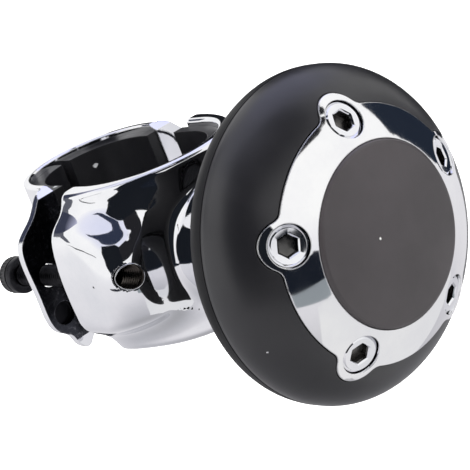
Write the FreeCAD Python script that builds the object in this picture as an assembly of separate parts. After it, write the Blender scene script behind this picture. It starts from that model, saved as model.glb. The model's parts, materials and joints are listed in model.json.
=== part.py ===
# Steering wheel spinner knob with a two-part rim clamp
# All lengths in millimetres
# Origin: on the axis of the clamp bore, half way up the clamp band
# +Z runs along the clamp bore, -Y points from the clamp to the knob face

import FreeCAD
import Part
import math
import os

V = FreeCAD.Vector

# Clamp band
bore_radius = 17.8
wall = 2.9
shell_radius = bore_radius + wall
band_top = 20.5
band_bottom = -20.0
rim_round = 0.9
low_rim_round = 2.0
bore_flare = 0.5
flange_y = 5.2

# Rear strap
strap_bore_radius = bore_radius - 1.0
strap_wall = 2.0
strap_radius = strap_bore_radius + strap_wall
strap_bottom = -16.0
strap_centre_y = 18.4
strap_flange_y = 15.5
strap_travel = 8.5

# Rubber pads
pad_thickness = 3.0
pad_bottom = -14.8
front_pad_bottom = -18.0
front_pad_top = 18.7
rear_pad_top = 18.8
pad_play = 0.03
pad_split_half = 7.0
front_pad_end_y = 6.8
rear_pad_end_y = 15.9
rear_pad_split_half = 1.3

# Clamp bolts
bolt_x = shell_radius + 6.1
bolt_z = 2.2
spare_hole_z = -7.6
spare_hole_depth = 1.5
bolt_radius = 2.5
bolt_play = 0.1
bolt_length = 26.0
bolt_head_radius = 4.4
bolt_head_height = 5.0
bolt_socket_flats = 4.0
bolt_standoff = 7.8
ear_hole_radius = 2.75
hole_mouth_y = -15.1
hole_mouth_turn = math.radians(27)

# Knob placing
knob_z = -1.3
knob_radius = 36.0
front_height = 18.5
rear_depth = 11.0
front_power = 1.95
rear_power = 3.3
seam_h = -1.0
seam_bevel = 0.06
skin = 2.8

# Neck and stem
neck_radius = 14.8
neck_end_y = -bore_radius - 23.4
stem_radius = 4.0
stem_play = 0.02
stem_head_radius = 6.5
stem_head_height = 8.0
stem_head_seat_y = -bore_radius - 9.2
nut_height = 4.6
nut_collar = 1.4
washer_height = 1.2
stem_proud = 0.2

# Ball bearings
bearing_outer = 11.0
bearing_inner = 4.0
bearing_width = 7.0
ring_step_in = 6.1
ring_step_out = 9.2
ball_radius = 1.95
ball_circle = 7.65
ball_count = 7
bearing_gap = 2.0
spacer_length = 3.4
hub_radius = bearing_outer + 3.0
hub_flange_radius = hub_radius + 5.0

# Stack on the stem, from the neck to the lock nut
bearing_rear_y = neck_end_y - spacer_length
bearing_front_y = bearing_rear_y - bearing_width - bearing_gap
bearings_end_y = bearing_front_y - bearing_width
washer_end = bearings_end_y - washer_height
nut_end_y = washer_end - nut_height - nut_collar
stem_tip_y = nut_end_y - stem_proud

# Heights in the knob, counted from the plane of its widest point
cap_recess = 0.4
cap_dome = 2.0
cap_thickness = 2.1
tape_thickness = 0.8
nut_proud = 1.4
cap_top_h = front_height - cap_recess
cap_edge_h = cap_top_h - cap_dome
cap_low = cap_edge_h - cap_thickness
floor_h = cap_low - tape_thickness
knob_plane_y = nut_end_y + floor_h + nut_proud

# Knob face
cap_radius = 19.45
cap_play = 0.15
knob_rim = knob_radius - cap_radius
ring_inner_radius = cap_radius + cap_play
ring_outer_radius = cap_radius + 0.4562 * knob_rim
ring_proud = 0.35
ring_depth = 1.7
screw_circle = cap_radius + 0.35045 * knob_rim
screw_phase = 0.255
screw_tilt = math.radians(26)
screw_head_radius = 4.2
screw_head_height = 3.2
screw_head_bevel = 0.7
screw_sink = 1.0
screw_radius = 2.5
screw_length = 7.8
screw_socket_flats = 4.0
screw_socket_depth = 2.2
socket_turns = (12, 38, 30, 20, 5)
counterbore_radius = screw_head_radius + 0.25
lug_radius = counterbore_radius + 0.85
lug_fillet = 3.0
boss_radius = counterbore_radius + 0.5
boss_floor = 1.2
insert_radius = screw_radius + 1.1
insert_length = 6.0
nut_room = 9.6


# Shape helpers

def rod(radius, y_from, y_to, x=0.0, z=0.0):
    low = min(y_from, y_to)
    high = max(y_from, y_to)
    return Part.makeCylinder(radius, high - low, V(x, low, z), V(0, 1, 0))


def tube(outer, inner, y_from, y_to, x=0.0, z=0.0):
    low = min(y_from, y_to)
    high = max(y_from, y_to)
    solid = rod(outer, low, high, x, z)
    return solid.cut(rod(inner, low - 1, high + 1, x, z))


def column(radius, z_from, z_to, x=0.0, y=0.0):
    return Part.makeCylinder(radius, z_to - z_from, V(x, y, z_from), V(0, 0, 1))


def block(x0, x1, y0, y1, z0, z1):
    return Part.makeBox(x1 - x0, y1 - y0, z1 - z0, V(x0, y0, z0))


def hexagon(flats, y_from, y_to, x, z, turn=0.0):
    radius = flats / math.sqrt(3.0)
    pts = []
    for i in range(7):
        a = turn + math.radians(60 * i)
        pts.append(V(x + radius * math.cos(a), y_from, z + radius * math.sin(a)))
    face = Part.Face(Part.makePolygon(pts))
    return face.extrude(V(0, y_to - y_from, 0))


def mirror_x(shape):
    return shape.mirror(V(0, 0, 0), V(1, 0, 0))


def spun(edges):
    wire = Part.Wire(edges)
    return Part.Face(wire).revolve(V(0, 0, knob_z), V(0, 1, 0), 360)


def turned(points):
    pts = [V(p[0], knob_plane_y - p[1], knob_z) for p in points]
    pts.append(pts[0])
    edges = []
    for i in range(len(pts) - 1):
        edges.append(Part.makeLine(pts[i], pts[i + 1]))
    return spun(edges)


# Knob outline

def front_h(r, off=0.0):
    rr = min(max(r / (knob_radius + off), 0.0), 1.0)
    return (front_height + off) * (1.0 - rr ** front_power) ** (1.0 / front_power)


def rear_h(r, off=0.0):
    rr = min(max(r / (knob_radius + off), 0.0), 1.0)
    return -(rear_depth + off) * (1.0 - rr ** rear_power) ** (1.0 / rear_power)


def front_r(h, off=0.0):
    hh = min(max(h / (front_height + off), 0.0), 1.0)
    return (knob_radius + off) * (1.0 - hh ** front_power) ** (1.0 / front_power)


def rear_r(h, off=0.0):
    hh = min(max(-h / (rear_depth + off), 0.0), 1.0)
    return (knob_radius + off) * (1.0 - hh ** rear_power) ** (1.0 / rear_power)


def arc_points(r_small, h_low, off, front):
    out = []
    steps = 14
    power = front_power if front else rear_power
    height = (front_height if front else rear_depth) + off
    radius = knob_radius + off
    start = math.asin(min(1.0, (abs(h_low) / height) ** (power / 2.0)))
    stop = math.acos(min(1.0, (r_small / radius) ** (power / 2.0)))
    for i in range(steps + 1):
        a = start + (stop - start) * i / steps
        r = radius * math.cos(a) ** (2.0 / power)
        h = height * math.sin(a) ** (2.0 / power)
        out.append((r, h if front else -h))
    return out


def curve_edge(pairs):
    pts = [V(p[0], knob_plane_y - p[1], knob_z) for p in pairs]
    spline = Part.BSplineCurve()
    spline.interpolate(pts)
    return spline.toShape()


def line_edges(pairs):
    pts = [V(p[0], knob_plane_y - p[1], knob_z) for p in pairs]
    return [Part.makeLine(pts[i], pts[i + 1]) for i in range(len(pts) - 1)]


def screw_frame(i):
    a = screw_phase + math.radians(72 * i)
    rad = V(math.cos(a), 0, math.sin(a))
    side = V(-math.sin(a), 0, math.cos(a))
    out = V(0, -1, 0)
    axis = out * math.cos(screw_tilt) + rad * math.sin(screw_tilt)
    across = rad * math.cos(screw_tilt) - out * math.sin(screw_tilt)
    top = front_h(screw_circle) + ring_proud
    spot = V(0, knob_plane_y, knob_z) + rad * screw_circle + out * top
    return spot, axis, across, side


def slanted(i, radius, low, high):
    spot, axis, across, side = screw_frame(i)
    return Part.makeCylinder(radius, high - low, spot - axis * high, axis)


def slanted_hexagon(i, flats, low, high):
    spot, axis, across, side = screw_frame(i)
    radius = flats / math.sqrt(3.0)
    pts = []
    for k in range(7):
        a = math.radians(socket_turns[i] + 60 * k)
        pts.append(spot - axis * high + across * (radius * math.cos(a)) + side * (radius * math.sin(a)))
    return Part.Face(Part.makePolygon(pts)).extrude(axis * (high - low))


def at_h(h):
    return knob_plane_y - h


def save(shape, name):
    shape.exportStep(os.path.join("parts", name + ".step"))
    print(name, round(shape.Volume), len(shape.Solids), shape.isValid())


os.makedirs("parts", exist_ok=True)


# Front casting of the clamp

def drum_face(radius, z0, z1, low, high, full):
    corner = []
    for centre_z, size, turn in ((z0, low, -1), (z1, high, 1)):
        part = []
        for i in range(7):
            a = math.pi / 2.0 * i / 6.0
            if size >= 0:
                x = radius - size + size * math.cos(a)
                z = centre_z - turn * size + turn * size * math.sin(a)
            else:
                x = radius - size * i / 6.0
                z = centre_z + turn * size * (1.0 - i / 6.0)
            part.append((x, z))
        corner.append(part)
    right = corner[0][::-1] + corner[1]
    pts = [V(x, 0, z) for x, z in right]
    if full:
        pts += [V(-x, 0, z) for x, z in right[::-1]]
    else:
        pts += [V(0, 0, right[-1][1]), V(0, 0, right[0][1])]
    pts.append(pts[0])
    return Part.Face(Part.makePolygon(pts))


def drum(radius, z0, z1, low, high, centre_y, end_y):
    round_part = drum_face(radius, z0, z1, low, high, False)
    round_part.translate(V(0, centre_y, 0))
    round_part = round_part.revolve(V(0, centre_y, 0), V(0, 0, 1), 360)
    straight = drum_face(radius, z0, z1, low, high, True)
    straight.translate(V(0, centre_y, 0))
    straight = straight.extrude(V(0, end_y - centre_y, 0))
    whole = round_part.fuse(straight)
    if end_y > centre_y:
        far = block(-80, 80, end_y, end_y + 80, -80, 80)
    else:
        far = block(-80, 80, end_y - 80, end_y, -80, 80)
    return whole.cut(far).removeSplitter()


def ear_section(z, beyond, front_y, corner, dip):
    half_width = shell_radius + beyond
    a = V(-half_width, flange_y, z)
    b = V(-half_width, front_y + corner, z)
    c = V(-half_width + corner, front_y, z)
    m = V(0, front_y + dip, z)
    k = corner * (1.0 - math.sqrt(0.5))
    mid = V(-half_width + k, front_y + k, z)
    flip = [V(-p.x, p.y, z) for p in (a, b, c, mid)]
    edges = [
        Part.makeLine(a, b),
        Part.Arc(b, mid, c).toShape(),
        Part.makeLine(c, m),
        Part.makeLine(m, flip[2]),
        Part.Arc(flip[2], flip[3], flip[1]).toShape(),
        Part.makeLine(flip[1], flip[0]),
        Part.makeLine(flip[0], a),
    ]
    return Part.Wire(edges)


# Each row gives height, width beyond the shell, front face, corner radius and dip of one ear section
ear_levels = [
    (-19.6, 0.2, -1, 5, 0),
    (-18.6, 1.3, -2.5, 6.5, 0),
    (-17, 2.5, -4.5, 8.5, 0),
    (-15.4, 3.6, -7.2, 11, 0.2),
    (-13.6, 5.3, -10.5, 13, 0.6),
    (-11.6, 7.9, -13.4, 13, 1.4),
    (-9.7, 9.6, -15.3, 11, 2.2),
    (-7, 10.3, -16.3, 9.2, 2.9),
    (-3, 10.5, -16.8, 8.2, 3.3),
    (1, 10.5, -16.9, 8, 3.4),
    (4.5, 10.3, -16.6, 8.4, 3.2),
    (7, 10, -15.9, 9.4, 2.6),
    (9, 9.7, -15.1, 10.8, 2),
    (10.8, 9.3, -14.1, 12.3, 1.4),
    (12.6, 8.6, -12.9, 13.4, 0.8),
    (13.9, 7.6, -11.9, 13.8, 0.5),
    (15.1, 6.1, -10.9, 13.6, 0.2),
    (16.4, 4.1, -9.5, 12.6, 0),
    (17.9, 2.4, -7.6, 11.2, 0),
    (19.2, 1.2, -5.2, 9.2, 0),
    (20.2, 0.25, -3, 7.2, 0),
]

shell = drum(shell_radius, band_bottom, band_top, low_rim_round, rim_round, 0, flange_y)
ears = Part.makeLoft([ear_section(*row) for row in ear_levels], True, False)
neck = rod(neck_radius, -12.0, neck_end_y, 0, knob_z)
neck_rims = [e for e in neck.Edges if abs(e.BoundBox.YMin - neck_end_y) < 0.01]
neck_rims = [e for e in neck_rims if e.BoundBox.YLength < 0.01]
neck = neck.makeFillet(0.8, neck_rims)
casting = shell.fuse([ears, neck])

bore_cut = drum(bore_radius, band_bottom, band_top, -bore_flare, -bore_flare, 0, 40)
bore_cut = bore_cut.fuse(drum(bore_radius, -40, 40, 0.0, 0.0, 0, 40))
casting = casting.cut(bore_cut)
casting = casting.cut(rod(stem_head_radius + 0.3, 0, stem_head_seat_y, 0, knob_z))
casting = casting.cut(rod(stem_radius + 0.25, 0, -60, 0, knob_z))
for side in (-1, 1):
    x = side * bolt_x
    casting = casting.cut(rod(bolt_radius + bolt_play, 30, -30, x, bolt_z))
    tip = V(x, hole_mouth_y, bolt_z)
    lean = V(side * math.sin(hole_mouth_turn), -math.cos(hole_mouth_turn), 0)
    mouth = Part.makeCone(bolt_radius - 0.4, bolt_radius + 2.6, 3.0, tip, lean)
    casting = casting.cut(mouth)
casting = casting.removeSplitter()
save(casting, "clamp_front_casting")


# Rear strap of the clamp

def spline_wire(points, y):
    pts = [V(p[0], y, p[1]) for p in points]
    spline = Part.BSplineCurve()
    spline.interpolate(pts)
    return spline.toShape()


def flange_plate():
    beyond = [
        (0.8, 20.2),
        (2.8, 19),
        (4.4, 17.2),
        (6.4, 15.3),
        (9.4, 13.4),
        (11.6, 11.2),
        (12.4, 8.4),
        (12.5, 3),
        (12.4, -3),
        (12.2, -8.6),
        (11.1, -11),
        (9.4, -12.4),
        (8.2, -13.6),
        (7.6, -15.4),
        (6.6, -17.1),
        (5.4, -17.8),
        (4.1, -17.2),
        (2.8, -15.9),
        (0.8, -15.4),
    ]
    outer = [(strap_radius + p[0], p[1]) for p in beyond]
    a = spline_wire(outer, strap_flange_y)
    inner_x = strap_bore_radius + 0.3
    start = V(outer[0][0], strap_flange_y, outer[0][1])
    stop = V(outer[-1][0], strap_flange_y, outer[-1][1])
    low_in = V(inner_x, strap_flange_y, outer[-1][1])
    top_in = V(inner_x, strap_flange_y, outer[0][1])
    lines = [Part.makeLine(stop, low_in), Part.makeLine(low_in, top_in)]
    lines.append(Part.makeLine(top_in, start))
    face = Part.Face(Part.Wire([a] + lines))
    return face.extrude(V(0, strap_wall, 0))


strap_out = drum(strap_radius, strap_bottom, band_top, 0.6, 0.6, strap_centre_y, strap_flange_y)
strap_in = drum(strap_bore_radius, -40, 40, 0.0, 0.0, strap_centre_y, strap_flange_y - 5)
strap_flare = drum(
    strap_bore_radius, strap_bottom, band_top, -0.4, -0.4, strap_centre_y, strap_flange_y - 5)
strap = strap_out.cut(strap_in).cut(strap_flare)
plate = flange_plate()
strap = strap.fuse([plate, mirror_x(plate)])
for side in (-1, 1):
    corner = Part.makePolygon([
        V(10, strap_flange_y - 1, band_top + 1),
        V(10, strap_flange_y + 2.4, band_top + 1),
        V(10, strap_flange_y + 2.4, band_top),
        V(10, strap_flange_y, band_top - 1.6),
        V(10, strap_flange_y - 1, band_top - 1.6),
        V(10, strap_flange_y - 1, band_top + 1),
    ])
    wedge = Part.Face(corner).extrude(V(20, 0, 0))
    if side < 0:
        wedge = mirror_x(wedge)
    strap = strap.cut(wedge)
    hole = rod(ear_hole_radius, 10, 25, side * bolt_x, bolt_z)
    blind_y = strap_flange_y + spare_hole_depth
    spare = rod(ear_hole_radius, 10, blind_y, side * bolt_x, spare_hole_z)
    strap = strap.cut(hole).cut(spare)
strap = strap.removeSplitter()
save(strap, "clamp_rear_strap")


# Rubber pads in the clamp

def pad(outside, centre_y, end_y, z0, z1, front):
    outer = outside - pad_play
    inner = outside - pad_thickness
    ring = column(outer, z0, z1, 0, centre_y)
    ring = ring.cut(column(inner, z0 - 1, z1 + 1, 0, centre_y))
    if front:
        half = ring.common(block(-60, 60, centre_y - 60, centre_y, -60, 60))
    else:
        half = ring.common(block(-60, 60, centre_y, centre_y + 60, -60, 60))
    leg = block(inner, outer, min(centre_y, end_y), max(centre_y, end_y), z0, z1)
    whole = half.fuse([leg, mirror_x(leg)])
    return whole.removeSplitter()


front_ring = pad(bore_radius, 0.0, front_pad_end_y, front_pad_bottom, front_pad_top, True)
front_right = front_ring.common(block(pad_split_half, 60, -60, 60, -60, 60))
rear_ring = pad(
    strap_bore_radius, strap_centre_y, rear_pad_end_y, pad_bottom, rear_pad_top, False)
rear_right = rear_ring.common(block(rear_pad_split_half, 60, -60, 60, -60, 60))
save(front_right, "front_pad_right")
save(mirror_x(front_right), "front_pad_left")
save(rear_right, "rear_pad_right")
save(mirror_x(rear_right), "rear_pad_left")


# Clamp bolts

def clamp_bolt(x):
    seat = strap_flange_y + strap_wall + bolt_standoff
    head = rod(bolt_head_radius, seat, seat + bolt_head_height, x, bolt_z)
    rims = [e for e in head.Edges if e.Length > 20]
    head = head.makeFillet(0.6, rims)
    shank = rod(bolt_radius, seat + 0.5, seat - bolt_length, x, bolt_z)
    tips = [e for e in shank.Edges if abs(e.BoundBox.YMin - seat + bolt_length) < 0.01]
    tips = [e for e in tips if e.BoundBox.YMax - e.BoundBox.YMin < 0.01]
    shank = shank.makeChamfer(0.5, tips)
    solid = head.fuse(shank).removeSplitter()
    top = seat + bolt_head_height
    return solid.cut(hexagon(bolt_socket_flats, top + 1, top - 2.6, x, bolt_z))


save(clamp_bolt(-bolt_x), "clamp_bolt_left")
save(clamp_bolt(bolt_x), "clamp_bolt_right")


# Stem through the neck

stem = rod(stem_radius, stem_head_seat_y, stem_tip_y, 0, knob_z)
stem_top = stem_head_seat_y + stem_head_height
stem = stem.fuse(rod(stem_head_radius, stem_head_seat_y, stem_top, 0, knob_z))
stem = stem.removeSplitter()
stem = stem.cut(hexagon(6.0, stem_top + 1, stem_top - 4.0, 0, knob_z))
save(stem, "stem_bolt")

hole = stem_radius + stem_play
save(tube(6.0, hole, neck_end_y, bearing_rear_y, 0, knob_z), "stem_spacer")
spacer_end = bearing_rear_y - bearing_width - bearing_gap
gap_tube = tube(5.6, hole, bearing_rear_y - bearing_width, spacer_end, 0, knob_z)
save(gap_tube, "bearing_spacer")
save(tube(6.0, hole, bearings_end_y, washer_end, 0, knob_z), "stem_washer")
nut_face = washer_end - nut_height
nut = hexagon(13.0, washer_end, nut_face, 0, knob_z)
nut = nut.cut(rod(hole, -90, -40, 0, knob_z))
collar = tube(5.9, 5.0, nut_face, nut_end_y, 0, knob_z)
nut = nut.fuse(collar).removeSplitter()
save(nut, "stem_lock_nut")
nylon = tube(5.0, hole, nut_face, nut_end_y, 0, knob_z)
save(nylon, "lock_nut_insert")


# Ball bearings

def bearing(y_rear, prefix):
    y_front = y_rear - bearing_width
    mid = (y_rear + y_front) / 2.0
    groove = Part.makeTorus(ball_circle, ball_radius + 0.03, V(0, mid, knob_z), V(0, 1, 0))
    outer = tube(bearing_outer, ring_step_out, y_rear, y_front, 0, knob_z).cut(groove)
    inner = tube(ring_step_in, bearing_inner + stem_play, y_rear, y_front, 0, knob_z)
    inner = inner.cut(groove)
    balls = []
    for i in range(ball_count):
        a = 2 * math.pi * i / ball_count
        place = V(ball_circle * math.cos(a), mid, knob_z + ball_circle * math.sin(a))
        balls.append(Part.makeSphere(ball_radius, place))
    cage = tube(8.5, 6.8, mid + 2.6, mid - 2.6, 0, knob_z)
    for i in range(ball_count):
        a = 2 * math.pi * i / ball_count
        out = V(math.cos(a), 0, math.sin(a))
        start = V(5.0 * out.x, mid, knob_z + 5.0 * out.z)
        cage = cage.cut(Part.makeCylinder(ball_radius + 0.08, 6.0, start, out))
    shield_a = tube(ring_step_out - 0.05, ring_step_in + 0.3, y_rear - 0.1, y_rear - 0.5, 0, knob_z)
    shield_b = tube(ring_step_out - 0.05, ring_step_in + 0.3, y_front + 0.5, y_front + 0.1, 0, knob_z)
    save(outer, prefix + "_bearing_outer_ring")
    save(inner, prefix + "_bearing_inner_ring")
    save(Part.makeCompound(balls), prefix + "_bearing_balls")
    save(cage, prefix + "_bearing_cage")
    save(Part.makeCompound([shield_a, shield_b]), prefix + "_bearing_shields")


bearing(bearing_rear_y, "rear")
bearing(bearing_front_y, "front")


# Hub around the bearings

hub_rear_y = bearing_rear_y + 1.6
hub = tube(hub_radius, bearing_outer + 0.01, hub_rear_y, bearings_end_y - 0.2, 0, knob_z)
flange = tube(hub_flange_radius, hub_radius - 1.0, knob_plane_y - seam_h + 1.5, knob_plane_y - seam_h - 1.5, 0, knob_z)
lip = tube(bearing_outer + 1.0, nut_room, bearings_end_y - 0.2, bearings_end_y - 1.4, 0, knob_z)
hub = hub.fuse([flange, lip]).removeSplitter()
clip_y = bearing_rear_y + 0.05
groove = tube(11.9, 10.0, clip_y + 1.1, clip_y, 0, knob_z)
hub = hub.cut(groove)
save(hub, "bearing_hub")
clip = tube(11.7, 9.7, clip_y + 1.0, clip_y + 0.05, 0, knob_z)
clip = clip.cut(block(-1.6, 1.6, -80, 0, knob_z - 20, knob_z))
save(clip, "bearing_circlip")


# Knob body

seat_depth = screw_sink + screw_head_height
boss_depth = seat_depth + boss_floor
insert_top = boss_depth + 0.1
screw_end = seat_depth + screw_length


def ring_outline(extra, h0, h1):
    big = ring_outer_radius + extra
    small = lug_radius + extra
    hollow_radius = lug_fillet - extra
    far = big + hollow_radius
    near = small + hollow_radius
    cosine = (far ** 2 + screw_circle ** 2 - near ** 2) / (2.0 * far * screw_circle)
    spread = math.acos(cosine)
    y = at_h(h0)

    def spot(cx, cz, radius, angle):
        return V(cx + radius * math.cos(angle), y, cz + radius * math.sin(angle))

    edges = []
    for i in range(5):
        a = screw_phase + math.radians(72 * i)
        lx = screw_circle * math.cos(a)
        lz = knob_z + screw_circle * math.sin(a)
        ends = []
        for side in (-1, 1):
            t = a + side * spread
            fx = far * math.cos(t)
            fz = knob_z + far * math.sin(t)
            out = math.atan2(fz - lz, fx - lx)
            on_ring = spot(0, knob_z, big, t)
            on_lug = spot(lx, lz, small, out)
            way_ring = math.atan2(on_ring.z - fz, on_ring.x - fx)
            way_lug = math.atan2(on_lug.z - fz, on_lug.x - fx)
            turn = (way_lug - way_ring + math.pi) % (2 * math.pi) - math.pi
            mid = spot(fx, fz, hollow_radius, way_ring + turn / 2.0)
            ends.append((on_ring, mid, on_lug))
        tip = spot(lx, lz, small, a)
        edges.append(Part.Arc(ends[0][0], ends[0][1], ends[0][2]).toShape())
        edges.append(Part.Arc(ends[0][2], tip, ends[1][2]).toShape())
        edges.append(Part.Arc(ends[1][2], ends[1][1], ends[1][0]).toShape())
        after = a + math.radians(72) - spread
        between = spot(0, knob_z, big, (a + spread + after) / 2.0)
        edges.append(Part.Arc(ends[1][0], between, spot(0, knob_z, big, after)).toShape())
    face = Part.Face(Part.Wire(edges))
    return face.extrude(V(0, at_h(h1) - y, 0))


outer_pairs = arc_points(ring_inner_radius - 0.4, 0.0, 0.0, True)
seam_r = rear_r(seam_h)
front_edge = curve_edge(outer_pairs)
top_r, top_h = outer_pairs[-1]
edges = [front_edge]
edges += line_edges([
    (top_r, top_h),
    (top_r, floor_h),
    (nut_room, floor_h),
    (nut_room, knob_plane_y - bearings_end_y + 1.6),
    (hub_radius + 0.1, knob_plane_y - bearings_end_y + 1.6),
    (hub_radius + 0.1, seam_h + 1.55),
    (hub_flange_radius + 0.2, seam_h + 1.55),
    (hub_flange_radius + 0.2, seam_h + 0.0),
    (seam_r - seam_bevel, seam_h),
    (knob_radius, 0.0),
])
body = spun(edges)
hollow_r = knob_radius - skin - 1.6
core_r = hub_flange_radius + 2.4
room = hollow_r - core_r
hollow = turned([
    (core_r, seam_h - 1),
    (hollow_r, seam_h - 1),
    (hollow_r, 2.0),
    (core_r + 0.765 * room, 5.4),
    (core_r + 0.5 * room, 8.2),
    (core_r, 9.6),
])
for i in range(5):
    hollow = hollow.cut(slanted(i, boss_radius + 1.0, 0, screw_end + 1.5))
body = body.cut(hollow)

band_r = ring_inner_radius - 3.6
band_low = arc_points(band_r, 3.0, -ring_depth - 0.05, True)
far_r = knob_radius + 4.0
sky = turned([(band_r, 30.0), (far_r, 30.0), (far_r, band_low[0][1])] + band_low)
recess = ring_outline(0.12, 0.0, 25.0).common(sky)
body = body.cut(recess)
for i in range(5):
    body = body.cut(slanted(i, boss_radius + 0.12, -6, boss_depth + 0.05))
    body = body.cut(slanted(i, insert_radius, 0, insert_top + insert_length))
    body = body.cut(slanted(i, screw_radius + 0.25, 0, screw_end + 0.6))
body = body.removeSplitter()
save(body, "knob_body")


# Chrome trim ring

above = arc_points(band_r, 3.0, ring_proud, True)
below = arc_points(band_r, 3.0, -ring_depth, True)
band_edges = [curve_edge(above), curve_edge(below)]
band_edges += line_edges([above[-1], below[-1]])
band_edges += line_edges([below[0], above[0]])
band = Part.Face(Part.Wire(Part.__sortEdges__(band_edges)))
band = band.revolve(V(0, 0, knob_z), V(0, 1, 0), 360)
ring = ring_outline(0.0, 0.0, 25.0).common(band)
cover_edges = [curve_edge(above)]
cover_edges += line_edges([above[-1], (band_r, 0.0), (above[0][0], 0.0), above[0]])
under = Part.Face(Part.Wire(Part.__sortEdges__(cover_edges)))
under = under.revolve(V(0, 0, knob_z), V(0, 1, 0), 360)
for i in range(5):
    stub = slanted(i, boss_radius, -6, boss_depth).common(under)
    ring = ring.fuse(stub)
ring = ring.cut(rod(ring_inner_radius, at_h(0), at_h(30), 0, knob_z))
for i in range(5):
    ring = ring.cut(slanted(i, counterbore_radius, -6, seat_depth))
    ring = ring.cut(slanted(i, screw_radius + 0.25, 0, boss_depth + 1))
ring = ring.removeSplitter()
save(ring, "trim_ring")


# Trim screws and their inserts

screws = []
inserts = []
for i in range(5):
    spot, axis, across, side = screw_frame(i)
    low_head = slanted(i, screw_head_radius, screw_sink + screw_head_bevel, seat_depth)
    start = spot - axis * (screw_sink + screw_head_bevel)
    small = screw_head_radius - screw_head_bevel
    bevel = Part.makeCone(screw_head_radius, small, screw_head_bevel, start, axis)
    shank = slanted(i, screw_radius, seat_depth - 0.5, screw_end)
    screw = low_head.fuse([bevel, shank]).removeSplitter()
    floor = screw_sink + screw_socket_depth
    screw = screw.cut(slanted_hexagon(i, screw_socket_flats, screw_sink - 1, floor))
    lead = spot - axis * (screw_sink + 0.45)
    screw = screw.cut(Part.makeCone(2.05, 2.55, 0.5, lead, axis))
    screws.append(screw)
    sleeve = slanted(i, insert_radius, insert_top, insert_top + insert_length)
    sleeve = sleeve.cut(slanted(i, screw_radius + 0.02, 0, 30))
    inserts.append(sleeve)
save(Part.makeCompound(screws), "trim_screws")
save(Part.makeCompound(inserts), "threaded_inserts")


# Rear cover of the knob

rear_all = arc_points(neck_radius + 1.4, abs(seam_h), 0.0, False)
cover_edge = curve_edge(rear_all)
end_r, end_h = rear_all[-1]
inner_pairs = [
    (end_r, end_h + 2.4),
    (hollow_r - 1.6, rear_h(hollow_r - 1.6) + 2.6),
    (hollow_r - 1.0, -5.4),
    (hollow_r, -3.4),
    (hollow_r, seam_h - 0.05),
    (seam_r - seam_bevel, seam_h - 0.05),
    (rear_all[0][0], rear_all[0][1]),
]
lines = line_edges([(end_r, end_h)] + inner_pairs)
cover = spun([cover_edge] + lines)
post = tube(core_r - 0.6, hub_radius + 0.3, at_h(seam_h - 1.55), at_h(end_h + 1.0), 0, knob_z)
cover = cover.fuse(post)
spigot_outer = hollow_r - 0.03
spigot = tube(spigot_outer, spigot_outer - 2.0, at_h(1.6), at_h(-4.0), 0, knob_z)
cover = cover.fuse(spigot)
cover = cover.cut(rod(neck_radius + 0.8, at_h(-20), neck_end_y - 3.6, 0, knob_z))
cover = cover.removeSplitter()
save(cover, "knob_rear_cover")


# Centre cap and its tape

rise = cap_dome - 0.35
dome_radius = ((cap_radius - 0.8) ** 2 + rise ** 2) / (2 * rise)
dome_points = []
for i in range(9):
    r = (cap_radius - 0.8) * i / 8.0
    h = cap_top_h - (dome_radius - math.sqrt(dome_radius ** 2 - r ** 2))
    dome_points.append((r, h))
cap_edges = [curve_edge(dome_points)]
cap_edges += line_edges([
    dome_points[-1],
    (cap_radius - 0.3, cap_edge_h + 0.12),
    (cap_radius, cap_edge_h - 0.35),
    (cap_radius, cap_low + 0.3),
    (cap_radius - 0.6, cap_low),
    (nut_room + 0.2, cap_low),
    (nut_room + 0.2, cap_low + 1.9),
    (0.0, cap_low + 1.9),
    (0.0, cap_top_h),
])
cap = spun(cap_edges)
save(cap, "centre_cap")
tape = tube(cap_radius - 0.85, nut_room + 0.3, at_h(floor_h), at_h(cap_low), 0, knob_z)
save(tape, "cap_tape")
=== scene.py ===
import json
import math

import bpy
import numpy as np
from mathutils import Matrix, Vector

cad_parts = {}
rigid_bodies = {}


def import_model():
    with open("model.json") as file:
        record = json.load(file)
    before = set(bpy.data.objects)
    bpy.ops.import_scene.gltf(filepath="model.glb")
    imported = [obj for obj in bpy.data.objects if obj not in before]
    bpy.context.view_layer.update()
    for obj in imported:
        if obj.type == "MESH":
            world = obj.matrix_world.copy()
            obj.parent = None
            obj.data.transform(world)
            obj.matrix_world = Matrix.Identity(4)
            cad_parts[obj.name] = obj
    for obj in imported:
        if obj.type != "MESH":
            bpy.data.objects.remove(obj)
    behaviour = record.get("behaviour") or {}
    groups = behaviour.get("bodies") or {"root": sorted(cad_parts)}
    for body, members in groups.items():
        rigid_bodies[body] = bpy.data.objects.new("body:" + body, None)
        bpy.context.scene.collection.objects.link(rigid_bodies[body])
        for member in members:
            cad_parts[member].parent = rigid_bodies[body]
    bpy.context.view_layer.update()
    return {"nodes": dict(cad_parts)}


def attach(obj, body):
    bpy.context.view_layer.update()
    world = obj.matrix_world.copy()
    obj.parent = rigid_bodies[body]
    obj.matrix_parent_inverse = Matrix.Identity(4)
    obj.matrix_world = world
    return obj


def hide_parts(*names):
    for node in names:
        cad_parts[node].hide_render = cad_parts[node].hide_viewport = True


for leftover in list(bpy.data.objects):
    bpy.data.objects.remove(leftover)

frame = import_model()
cadNodes = frame["nodes"]
print("frame loaded,", len(cadNodes), "nodes")


# camera, fitted to the photograph's angle

camera = {
    "place": (-0.233677, -0.327051, 0.114540),
    "right": (0.678309, -0.648022, -0.346357),
    "up": (0.450201, -0.006000, 0.892906),
    "back": (-0.580701, -0.761597, 0.287670),
    "lens": 137.77,
    "sensor": 36.0,
    "nearest": 0.01,
    "farthest": 20,
}


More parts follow.
